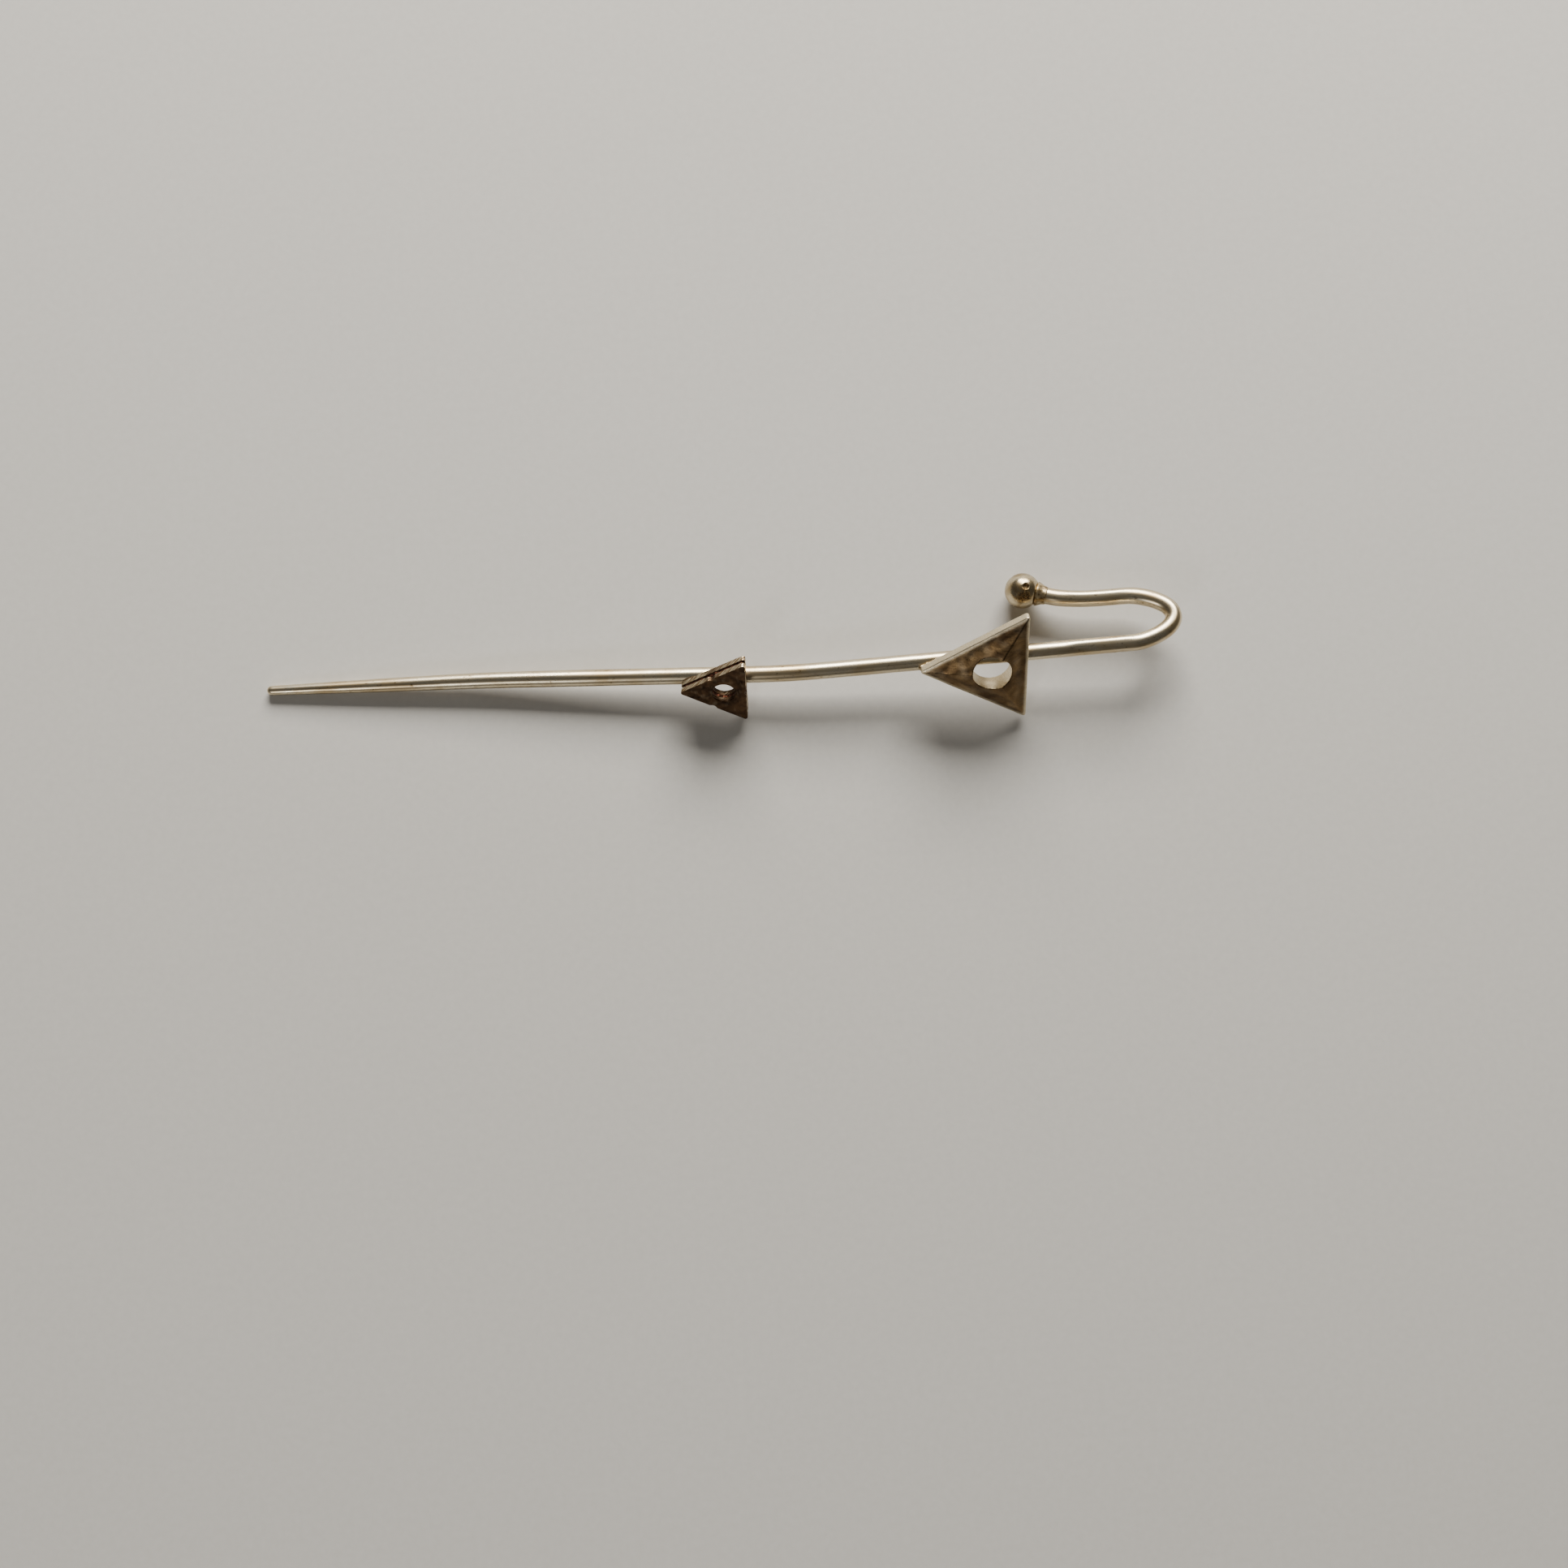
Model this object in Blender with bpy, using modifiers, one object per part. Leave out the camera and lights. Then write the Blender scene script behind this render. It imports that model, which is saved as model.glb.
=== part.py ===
"""Hat pin: one bent brass wire with a ball at its end and two openwork triangles soldered to it.

The pin lies on the plane z = 0, on its point, on one corner of the large triangle and on the ball.
+X runs along the shaft from the point to the hook, and +Y is the side that the hook turns to.
The origin is the bottom centre of the whole pin's box.
"""

import math

import bmesh
import bpy
from mathutils import Matrix, Vector

MM = 0.001

# The wire, from its point: three nearly straight runs, the nose of the hook and the return leg.
WIRE_DIAMETER = 1.2 * MM
POINT_DIAMETER = 0.66 * MM
TAPER_LENGTH = 22.0 * MM
TAPER_POWER = 1.8
POINT_RUN = 15.7 * MM
MIDDLE_RUN = 21.6 * MM
HOOK_RUN = 24.3 * MM
POINT_HEADING = math.radians(-0.5)
MIDDLE_HEADING = math.radians(-2.1)
HOOK_HEADING = math.radians(1.85)
POINT_CLIMB = math.radians(2.0)
MIDDLE_CLIMB = math.radians(2.9)
HOOK_CLIMB = math.radians(2.5)
RUN_EASE = 2.6 * MM
HOOK_NOSE = 2.95 * MM
HOOK_GAP = 3.67 * MM
NOSE_POWER = 1.42
RETURN_LEG = 5.75 * MM
LEG_SPREAD = 0.56 * MM
LEG_POWER = 3.6

# The ball on the wire's end, and the straight wire between the leg and the ball.
BALL_DIAMETER = 2.52 * MM
NECK_LENGTH = 0.48 * MM
SOCKET_DEPTH = 0.9 * MM
BALL_FILLET_WIDTH = 0.34 * MM
BALL_FILLET_REACH = 0.55 * MM
BALL_FILLET_EDGE = 0.08 * MM

# The large triangle: a low three-sided pyramid with a three-sided window.
LARGE_SIDE = 8.8 * MM
LARGE_RIM = 0.88 * MM
LARGE_FACET = math.radians(20.0)
LARGE_CORNER = 0.22 * MM
LARGE_SKEW = math.radians(-3.0)
LARGE_FROM_NOSE = 7.7 * MM

# The small triangle: two flat sheets, soldered face to face over the same window.
SMALL_SIDE = 5.5 * MM
SMALL_SHEET = 0.45 * MM
SMALL_CORNER = 0.18 * MM
SMALL_SEAM = 0.20 * MM
SMALL_SEAM_INSET = 0.09 * MM
SMALL_NOTCH_DIAMETER = 0.74 * MM
SMALL_NOTCH_DEPTH = 0.12 * MM
SMALL_SKEW = math.radians(-1.5)
SMALL_LEAN = math.radians(8.0)
SMALL_FROM_NOSE = 27.3 * MM

# The solder that holds each triangle on the wire.
SADDLE_THICKNESS = 0.06 * MM
SADDLE_WRAP = math.radians(54.0)
SADDLE_TOE = 0.16 * MM
SADDLE_START = -0.15 * MM
SADDLE_WINDOW_SETBACK = 0.30 * MM

# A round window's radius, as a share of its triangle's inscribed circle.
WINDOW_SHARE = 0.53

# Clearances between pieces that touch.
FACE_CLEARANCE = 0.02 * MM
ROUND_CLEARANCE = 0.03 * MM

# Colour and roughness of each metal.
WIRE_COLOUR = (0.76, 0.66, 0.46)
WIRE_ROUGHNESS = 0.24
BALL_COLOUR = (0.78, 0.68, 0.48)
BALL_ROUGHNESS = 0.18
BALL_SOLDER_COLOUR = (0.52, 0.42, 0.28)
LARGE_COLOUR = (0.70, 0.58, 0.38)
LARGE_ROUGHNESS = 0.32
SMALL_COLOUR = (0.60, 0.48, 0.30)
SMALL_ROUGHNESS = 0.36
SEAM_COLOUR = (0.24, 0.14, 0.09)
SEAM_ROUGHNESS = 0.55
SOLDER_COLOUR = (0.50, 0.42, 0.30)
SOLDER_ROUGHNESS = 0.45

ARC_STEPS = 5
SADDLE_STEPS = 8
SEAT_STEPS = 4
TURN_STEPS = 24
WINDOW_STEPS = 40
NOSE_STEPS = 24
LEG_STEPS = 8
EASE_STEPS = 5
POINT_STEPS = 5
TAPER_STEP = 2.6 * MM

WIRE_RADIUS = WIRE_DIAMETER / 2
BALL_RADIUS = BALL_DIAMETER / 2
NECK_RUN = BALL_RADIUS + NECK_LENGTH
SHEET_OFFSET = WIRE_RADIUS + SADDLE_THICKNESS + 2 * FACE_CLEARANCE
UP = Vector((0.0, 0.0, 1.0))


def clear_scene():
    for item in list(bpy.data.objects):
        bpy.data.objects.remove(item, do_unlink=True)


def new_collection(name):
    collection = bpy.data.collections.new(name)
    bpy.context.scene.collection.children.link(collection)
    return collection


def metal(name, colour, roughness):
    material = bpy.data.materials.new(name)
    material.use_nodes = True
    shader = material.node_tree.nodes["Principled BSDF"]
    shader.inputs["Base Color"].default_value = (*colour, 1.0)
    shader.inputs["Metallic"].default_value = 1.0
    shader.inputs["Roughness"].default_value = roughness
    material.diffuse_color = (*colour, 1.0)
    return material


def inradius(side):
    return side / (2 * math.sqrt(3))


def window_radius(side):
    return WINDOW_SHARE * inradius(side)


def direction(heading, climb):
    flat = math.cos(climb)
    return Vector((flat * math.cos(heading), flat * math.sin(heading), math.sin(climb)))


# --- the shape of the wire -------------------------------------------------------------------------


def wire_corners():
    """The point, the two corners between the runs, and the place where the hook's nose starts."""
    point = Vector((0.0, 0.0, POINT_DIAMETER / 2))
    first = point + POINT_RUN * direction(POINT_HEADING, POINT_CLIMB)
    second = first + MIDDLE_RUN * direction(MIDDLE_HEADING, MIDDLE_CLIMB)
    nose = second + HOOK_RUN * direction(HOOK_HEADING, HOOK_CLIMB)
    return point, first, second, nose


def eased_corner(before, corner, after):
    """A gentle bend through a corner, as a quadratic curve."""
    start = corner + RUN_EASE * (before - corner).normalized()
    end = corner + RUN_EASE * (after - corner).normalized()
    points = []
    for step in range(EASE_STEPS + 1):
        t = step / EASE_STEPS
        points.append((1 - t) ** 2 * start + 2 * t * (1 - t) * corner + t ** 2 * end)
    return points


def hook_axes():
    """The shaft's direction at the hook, and the direction across the hook.

    The hook dips towards the table until the ball on its end rests there.
    """
    along = direction(HOOK_HEADING, HOOK_CLIMB)
    level = UP.cross(along).normalized()
    rise = along.cross(level)
    back, out = ball_place()
    height = (wire_corners()[3] + back * along).z
    dip = math.asin((height - BALL_RADIUS) / (out * rise.z))
    across = math.cos(dip) * level - math.sin(dip) * rise
    return along, across


def leg_slope():
    return LEG_POWER * LEG_SPREAD / RETURN_LEG


def ball_place():
    """The ball's centre in the hook's plane: along the shaft from the nose's start, and across."""
    slope = leg_slope()
    run = NECK_RUN / math.hypot(1.0, slope)
    return -(RETURN_LEG + run), HOOK_GAP + LEG_SPREAD + run * slope


def neck_direction(along, across):
    """The direction of the wire's end, towards the ball's centre."""
    return (leg_slope() * across - along).normalized()


def hook_points():
    nose = wire_corners()[3]
    along, across = hook_axes()
    points = []
    for step in range(1, NOSE_STEPS + 1):
        angle = math.pi * step / NOSE_STEPS
        reach = HOOK_NOSE * max(math.sin(angle), 0.0) ** NOSE_POWER
        points.append(nose + reach * along + HOOK_GAP / 2 * (1 - math.cos(angle)) * across)
    for step in range(1, LEG_STEPS + 1):
        t = step / LEG_STEPS
        width = HOOK_GAP + LEG_SPREAD * t ** LEG_POWER
        points.append(nose - RETURN_LEG * t * along + width * across)
    seat = BALL_RADIUS - SOCKET_DEPTH + FACE_CLEARANCE
    points.append(points[-1] + (NECK_RUN - seat) * neck_direction(along, across))
    return points


def taper_radius(distance):
    """The wire's radius at a distance from its rounded point."""
    end_radius = POINT_DIAMETER / 2
    left = max(1.0 - distance / TAPER_LENGTH, 0.0)
    radius = WIRE_RADIUS - (WIRE_RADIUS - end_radius) * left ** TAPER_POWER
    if distance < end_radius:
        radius *= math.sqrt(1.0 - (1.0 - distance / end_radius) ** 2)
    return radius


def wire_points():
    """The wire's centre line from its point to its end in the ball, each with its radius."""
    point, first, second, nose = wire_corners()
    start = (first - point).normalized()
    distances = []
    for step in range(POINT_STEPS):
        turn = math.pi / 2 * (step + 0.4) / POINT_STEPS
        distances.append(POINT_DIAMETER / 2 * (1.0 - math.cos(turn)))
    taper_steps = int((POINT_RUN - RUN_EASE) / TAPER_STEP)
    for step in range(1, taper_steps):
        distances.append(POINT_DIAMETER / 2 + step * (POINT_RUN - RUN_EASE) / taper_steps)
    centres = [point + distance * start for distance in distances]
    centres += eased_corner(point, first, second)
    centres += eased_corner(first, second, nose)
    centres.append(nose)
    centres += hook_points()
    result = []
    travelled = (centres[0] - point).length
    for before, centre in zip([centres[0]] + centres, centres):
        travelled += (centre - before).length
        result.append((centre, taper_radius(travelled)))
    return result


def shaft_frame(from_nose):
    """A place on the shaft, at a distance back from the hook's nose, with the shaft's direction."""
    point, first, second, nose = wire_corners()
    if from_nose <= HOOK_RUN:
        along = (nose - second).normalized()
        return nose - from_nose * along, along
    along = (second - first).normalized()
    return second - (from_nose - HOOK_RUN) * along, along


def low_corner(side, skew):
    """How far a skewed triangle's low corner is ahead of its stop edge's middle, and to its side."""
    inside = inradius(side)
    corner = Matrix.Rotation(skew, 2) @ Vector((inside, -side / 2))
    return corner.x - inside, -corner.y


def triangle_roll():
    """The large triangle's turn about the shaft, which puts its low corner on z = 0."""
    ahead, half = low_corner(LARGE_SIDE, LARGE_SKEW)
    place, along = shaft_frame(LARGE_FROM_NOSE - ahead)
    reach = math.hypot(half, SHEET_OFFSET)
    return math.atan2(SHEET_OFFSET, half) + math.asin(place.z / (reach * math.cos(HOOK_CLIMB)))


def wire_matrix(from_nose, lean):
    """A frame on the shaft: x along it to the hook, and z out of a triangle's front face."""
    place, along = shaft_frame(from_nose)
    level = UP.cross(along).normalized()
    rise = along.cross(level)
    roll = triangle_roll() + lean
    side = math.cos(roll) * level + math.sin(roll) * rise
    turn = Matrix((along, side, along.cross(side))).transposed().to_4x4()
    return Matrix.Translation(place) @ turn


def triangle_matrix(side, from_nose, lean, skew):
    """A triangle's frame: the wire's, skewed about the triangle's centre."""
    centre = Vector((-inradius(side), 0.0, 0.0))
    turn = Matrix.Translation(centre) @ Matrix.Rotation(skew, 4, "Z") @ Matrix.Translation(-centre)
    return wire_matrix(from_nose, lean) @ turn


# --- shapes ----------------------------------------------------------------------------------------


def rounded_triangle(centre_x, radius_inside, corner):
    """A triangle's outline with round corners, one corner on the x axis towards the point."""
    reach = 2 * (radius_inside - corner)
    points = []
    for turn in range(3):
        middle = math.pi + turn * 2 * math.pi / 3
        for step in range(ARC_STEPS + 1):
            angle = middle + math.radians(-60 + 120 * step / ARC_STEPS)
            x = centre_x + reach * math.cos(middle) + corner * math.cos(angle)
            y = reach * math.sin(middle) + corner * math.sin(angle)
            points.append((x, y))
    return points


def round_window(centre_x, radius):
    angles = [2 * math.pi * step / WINDOW_STEPS for step in range(WINDOW_STEPS)]
    return [(centre_x + radius * math.cos(angle), radius * math.sin(angle)) for angle in angles]


def flat_curve(name, outlines, bottom, thickness, collection):
    """Closed outlines filled and given a thickness, from a bottom height upwards."""
    curve = bpy.data.curves.new(name, "CURVE")
    curve.dimensions = "2D"
    curve.fill_mode = "BOTH"
    curve.extrude = thickness / 2
    for outline in outlines:
        spline = curve.splines.new("POLY")
        spline.points.add(len(outline) - 1)
        for point, (x, y) in zip(spline.points, outline):
            point.co = (x, y, 0.0, 1.0)
        spline.use_cyclic_u = True
    sheet = bpy.data.objects.new(name, curve)
    sheet.location.z = bottom + thickness / 2
    collection.objects.link(sheet)
    return sheet


def as_mesh(item, collection):
    """The same shape as a closed mesh object with its place in its own origin."""
    bpy.context.view_layer.update()
    graph = bpy.context.evaluated_depsgraph_get()
    mesh = bpy.data.meshes.new_from_object(item.evaluated_get(graph))
    name = item.name
    matrix = item.matrix_world.copy()
    bpy.data.objects.remove(item, do_unlink=True)
    work = bmesh.new()
    work.from_mesh(mesh)
    bmesh.ops.remove_doubles(work, verts=work.verts, dist=0.0005 * MM)
    bmesh.ops.recalc_face_normals(work, faces=work.faces)
    work.to_mesh(mesh)
    work.free()
    mesh.name = name
    result = bpy.data.objects.new(name, mesh)
    result.matrix_world = matrix
    collection.objects.link(result)
    return result


def primitive(name, build, collection):
    """A mesh object from one bmesh primitive."""
    work = bmesh.new()
    build(work)
    mesh = bpy.data.meshes.new(name)
    work.to_mesh(mesh)
    work.free()
    item = bpy.data.objects.new(name, mesh)
    collection.objects.link(item)
    return item


def boolean(item, cutter, operation):
    modifier = item.modifiers.new(cutter.name, "BOOLEAN")
    modifier.operation = operation
    modifier.object = cutter
    modifier.solver = "EXACT"
    cutter.hide_render = True
    cutter.display_type = "WIRE"


def smooth(item, angle):
    item.data.shade_smooth()
    item.data.set_sharp_from_angle(angle=math.radians(angle))


def put(item, matrix, parent, material):
    """Places a piece by a frame, hangs it under the pin's empty and gives it its material."""
    item.parent = parent
    item.matrix_world = matrix
    item.data.materials.clear()
    item.data.materials.append(material)


# --- the pieces ------------------------------------------------------------------------------------


def make_wire(collection, parent):
    curve = bpy.data.curves.new("pin_wire", "CURVE")
    curve.dimensions = "3D"
    curve.fill_mode = "FULL"
    curve.bevel_depth = 1.0
    curve.bevel_resolution = 4
    curve.use_fill_caps = True
    centres = wire_points()
    spline = curve.splines.new("POLY")
    spline.points.add(len(centres) - 1)
    for point, (centre, radius) in zip(spline.points, centres):
        point.co = (*centre, 1.0)
        point.radius = radius
    wire = bpy.data.objects.new("pin_wire", curve)
    collection.objects.link(wire)
    put(wire, Matrix.Identity(4), parent, metal("drawn_brass", WIRE_COLOUR, WIRE_ROUGHNESS))


def ball_matrix():
    """The ball's frame: its centre, with z back along the wire's end."""
    along, across = hook_axes()
    back, out = ball_place()
    centre = wire_corners()[3] + back * along + out * across
    axis = -neck_direction(along, across)
    return Matrix.Translation(centre) @ axis.to_track_quat("Z", "Y").to_matrix().to_4x4()


def make_ball(collection, cutters, parent):
    place = ball_matrix()
    ball = primitive(
        "end_ball",
        lambda work: bmesh.ops.create_uvsphere(
            work, u_segments=32, v_segments=20, radius=BALL_RADIUS),
        collection)
    bore = WIRE_RADIUS + ROUND_CLEARANCE
    drill = primitive(
        "ball_socket_cutter",
        lambda work: bmesh.ops.create_cone(
            work, cap_ends=True, segments=24, radius1=bore, radius2=bore, depth=2 * SOCKET_DEPTH),
        cutters)
    drill.parent = parent
    drill.matrix_world = place @ Matrix.Translation((0.0, 0.0, BALL_RADIUS))
    boolean(ball, drill, "DIFFERENCE")
    smooth(ball, 40)
    put(ball, place, parent, metal("polished_brass", BALL_COLOUR, BALL_ROUGHNESS))


def make_ball_solder(collection, parent):
    """A turned fillet round the wire, with its foot on the ball."""
    inner = WIRE_RADIUS + ROUND_CLEARANCE
    outer = inner + BALL_FILLET_WIDTH
    seat = BALL_RADIUS + ROUND_CLEARANCE
    lip = 0.2 * BALL_FILLET_WIDTH

    def seat_height(radius):
        return math.sqrt(seat ** 2 - radius ** 2)

    profile = [(inner, seat_height(inner) + BALL_FILLET_REACH + lip)]
    for step in range(ARC_STEPS + 1):
        # The thickness is measured up from the seat, so the fillet never crosses it.
        share = step / ARC_STEPS
        radius = inner + lip + (outer - inner - lip) * share
        thickness = BALL_FILLET_EDGE + (BALL_FILLET_REACH - BALL_FILLET_EDGE) * (1 - share) ** 2
        profile.append((radius, seat_height(radius) + thickness))
    for step in range(SEAT_STEPS + 1):
        radius = outer + (inner - outer) * step / SEAT_STEPS
        profile.append((radius, seat_height(radius)))
    mesh = bpy.data.meshes.new("ball_solder")
    edges = [(i, (i + 1) % len(profile)) for i in range(len(profile))]
    mesh.from_pydata([(radius, 0.0, height) for radius, height in profile], edges, [])
    ring = bpy.data.objects.new("ball_solder", mesh)
    collection.objects.link(ring)
    screw = ring.modifiers.new("turn", "SCREW")
    screw.steps = TURN_STEPS
    screw.render_steps = TURN_STEPS
    screw.use_merge_vertices = True
    screw.merge_threshold = 0.0005 * MM
    screw.use_smooth_shade = True
    material = metal("ball_solder_metal", BALL_SOLDER_COLOUR, SOLDER_ROUGHNESS)
    put(ring, ball_matrix(), parent, material)


def make_large_triangle(collection, cutters, parent):
    place = triangle_matrix(LARGE_SIDE, LARGE_FROM_NOSE, 0.0, LARGE_SKEW)
    inside = inradius(LARGE_SIDE)
    rise = inside * math.tan(LARGE_FACET)
    outline = rounded_triangle(-inside, inside, LARGE_CORNER)
    plate = as_mesh(
        flat_curve("large_triangle", [outline], SHEET_OFFSET, LARGE_RIM + rise, collection),
        collection)
    depth = 2 * (LARGE_RIM + rise)
    width = 2 * depth / math.tan(LARGE_FACET)
    facets = primitive(
        "large_facet_cutter",
        lambda work: bmesh.ops.create_cone(
            work, cap_ends=True, segments=3, radius1=width, radius2=0.0, depth=depth,
            matrix=Matrix.Rotation(facet_turn(), 4, "Z")),
        cutters)
    facets.parent = parent
    top = SHEET_OFFSET + LARGE_RIM + rise
    facets.matrix_world = place @ Matrix.Translation((-inside, 0.0, top - depth / 2))
    hole = round_window(-inside, window_radius(LARGE_SIDE))
    window = as_mesh(flat_curve("large_window_cutter", [hole], 0.0, 2 * top, cutters), cutters)
    window.parent = parent
    window.matrix_world = place @ Matrix.Translation((0.0, 0.0, top))
    boolean(plate, facets, "INTERSECT")
    boolean(plate, window, "DIFFERENCE")
    smooth(plate, 30)
    material = metal("large_triangle_brass", LARGE_COLOUR, LARGE_ROUGHNESS)
    put(plate, place @ plate.matrix_world, parent, material)


def facet_turn():
    """The turn that puts one corner of a three-sided cone on -x."""
    work = bmesh.new()
    bmesh.ops.create_cone(work, cap_ends=True, segments=3, radius1=1.0, radius2=0.0, depth=1.0)
    base = [v.co for v in work.verts if v.co.z < 0]
    angle = math.pi - math.atan2(base[0].y, base[0].x)
    work.free()
    return angle


def small_outline(extra_inset):
    inside = inradius(SMALL_SIDE)
    return rounded_triangle(-inside, inside - extra_inset, SMALL_CORNER)


def small_window(extra_size):
    return round_window(-inradius(SMALL_SIDE), window_radius(SMALL_SIDE) + extra_size)


def make_small_sheets(collection, cutters, parent):
    place = triangle_matrix(SMALL_SIDE, SMALL_FROM_NOSE, SMALL_LEAN, SMALL_SKEW)
    back = as_mesh(
        flat_curve("small_back_sheet", [small_outline(0.0), small_window(0.0)],
                   SHEET_OFFSET, SMALL_SHEET, collection),
        collection)
    smooth(back, 30)
    material = metal("small_back_brass", SMALL_COLOUR, SMALL_ROUGHNESS)
    put(back, place @ back.matrix_world, parent, material)
    seam_bottom = SHEET_OFFSET + SMALL_SHEET + FACE_CLEARANCE
    seam_height = SMALL_SEAM - 2 * FACE_CLEARANCE
    seam = as_mesh(
        flat_curve("small_sheet_solder",
                   [small_outline(SMALL_SEAM_INSET), small_window(SMALL_SEAM_INSET / 2)],
                   seam_bottom, seam_height, collection),
        collection)
    smooth(seam, 30)
    material = metal("sheet_solder_metal", SEAM_COLOUR, SEAM_ROUGHNESS)
    put(seam, place @ seam.matrix_world, parent, material)
    front_bottom = SHEET_OFFSET + SMALL_SHEET + SMALL_SEAM
    front = as_mesh(
        flat_curve("small_front_sheet", [small_outline(0.0), small_window(0.0)],
                   front_bottom, SMALL_SHEET, collection),
        collection)
    inside = inradius(SMALL_SIDE)
    for turn in range(3):
        angle = turn * 2 * math.pi / 3
        reach = inside - SMALL_NOTCH_DEPTH + SMALL_NOTCH_DIAMETER / 2
        notch = primitive(
            f"small_notch_cutter_{turn + 1}",
            lambda work: bmesh.ops.create_cone(
                work, cap_ends=True, segments=20, radius1=SMALL_NOTCH_DIAMETER / 2,
                radius2=SMALL_NOTCH_DIAMETER / 2, depth=2 * SMALL_SHEET),
            cutters)
        notch.parent = parent
        notch.matrix_world = place @ Matrix.Translation(
            (reach * math.cos(angle) - inside, reach * math.sin(angle),
             front_bottom + SMALL_SHEET / 2))
        boolean(front, notch, "DIFFERENCE")
    smooth(front, 30)
    material = metal("small_front_brass", SMALL_COLOUR, SMALL_ROUGHNESS)
    put(front, place @ front.matrix_world, parent, material)


def saddle_outline():
    """Solder across the wire: flat under the sheet, hollow over the wire, with a toe at each side."""
    top = SHEET_OFFSET - FACE_CLEARANCE
    hollow = WIRE_RADIUS + FACE_CLEARANCE
    half_width = hollow * math.sin(SADDLE_WRAP)
    low = hollow * math.cos(SADDLE_WRAP)
    wide = half_width + SADDLE_TOE
    points = [(-wide, top), (wide, top)]
    for step in range(1, ARC_STEPS + 1):
        angle = math.pi / 2 * step / ARC_STEPS
        points.append((wide - SADDLE_TOE * math.sin(angle), top - (top - low) * (1 - math.cos(angle))))
    for step in range(1, SADDLE_STEPS):
        across = half_width * (1 - 2 * step / SADDLE_STEPS)
        points.append((across, math.sqrt(hollow ** 2 - across ** 2)))
    for step in range(ARC_STEPS, 0, -1):
        angle = math.pi / 2 * step / ARC_STEPS
        points.append((-wide + SADDLE_TOE * math.sin(angle), top - (top - low) * (1 - math.cos(angle))))
    return points


def make_saddle(name, side, open_to, from_nose, lean, collection, parent):
    """Solder from just behind the triangle's leading corner to just short of its window."""
    inside = inradius(side)
    start = -3 * inside + SADDLE_START
    end = -inside - open_to - SADDLE_WINDOW_SETBACK
    saddle = as_mesh(flat_curve(name, [saddle_outline()], 0.0, end - start, collection), collection)
    smooth(saddle, 40)
    stand = Matrix(((0.0, 0.0, 1.0, start), (1.0, 0.0, 0.0, 0.0), (0.0, 1.0, 0.0, 0.0), (0, 0, 0, 1)))
    material = metal(f"{name}_metal", SOLDER_COLOUR, SOLDER_ROUGHNESS)
    put(saddle, wire_matrix(from_nose, lean) @ stand @ saddle.matrix_world, parent, material)


def centre_on_origin(collection, parent):
    """Moves the pin so that the bottom centre of its box is the origin."""
    bpy.context.view_layer.update()
    graph = bpy.context.evaluated_depsgraph_get()
    low = Vector((math.inf,) * 3)
    high = Vector((-math.inf,) * 3)
    for item in collection.objects:
        if item.type == "EMPTY":
            continue
        solid = item.evaluated_get(graph)
        mesh = solid.to_mesh()
        for vertex in mesh.vertices:
            place = solid.matrix_world @ vertex.co
            low = Vector(map(min, low, place))
            high = Vector(map(max, high, place))
        solid.to_mesh_clear()
    parent.location -= Vector(((low.x + high.x) / 2, (low.y + high.y) / 2, low.z))


def main():
    clear_scene()
    collection = new_collection("hat_pin")
    cutters = new_collection("hat_pin_cutters")
    parent = bpy.data.objects.new("hat_pin_place", None)
    collection.objects.link(parent)
    make_wire(collection, parent)
    make_ball(collection, cutters, parent)
    make_ball_solder(collection, parent)
    make_large_triangle(collection, cutters, parent)
    make_small_sheets(collection, cutters, parent)
    large_open = window_radius(LARGE_SIDE)
    make_saddle("large_triangle_solder", LARGE_SIDE, large_open, LARGE_FROM_NOSE, 0.0,
                collection, parent)
    small_open = window_radius(SMALL_SIDE)
    make_saddle("small_triangle_solder", SMALL_SIDE, small_open, SMALL_FROM_NOSE, SMALL_LEAN,
                collection, parent)
    centre_on_origin(collection, parent)


main()
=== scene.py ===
"""Looks of the hat pin: its bent wire, ball, two soldered ornaments and their brass finishes.

Pieces are modelled in millimetres, each in its own frame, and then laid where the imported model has
them. The pin lies on the floor: +X is along the shaft to the hook, and +Y is the hook's side.
"""

import math

import bpy
from mathutils import Matrix, Vector, kdtree, noise


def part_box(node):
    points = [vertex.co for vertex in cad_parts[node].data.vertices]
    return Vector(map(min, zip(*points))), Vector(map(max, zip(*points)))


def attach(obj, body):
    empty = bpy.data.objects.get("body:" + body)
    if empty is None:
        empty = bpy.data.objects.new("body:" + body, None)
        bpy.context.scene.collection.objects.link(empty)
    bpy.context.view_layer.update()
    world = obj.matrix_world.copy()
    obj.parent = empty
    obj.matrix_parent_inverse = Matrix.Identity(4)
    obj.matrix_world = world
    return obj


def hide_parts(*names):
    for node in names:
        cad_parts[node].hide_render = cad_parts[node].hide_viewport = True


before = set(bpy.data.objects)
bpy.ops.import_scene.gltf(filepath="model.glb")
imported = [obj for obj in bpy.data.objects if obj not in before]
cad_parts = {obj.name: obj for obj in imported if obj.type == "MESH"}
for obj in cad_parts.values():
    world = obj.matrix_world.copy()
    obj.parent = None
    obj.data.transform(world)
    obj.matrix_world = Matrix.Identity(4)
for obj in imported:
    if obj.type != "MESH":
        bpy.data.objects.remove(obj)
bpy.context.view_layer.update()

MM = 0.001
UP = Vector((0.0, 0.0, 1.0))

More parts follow.
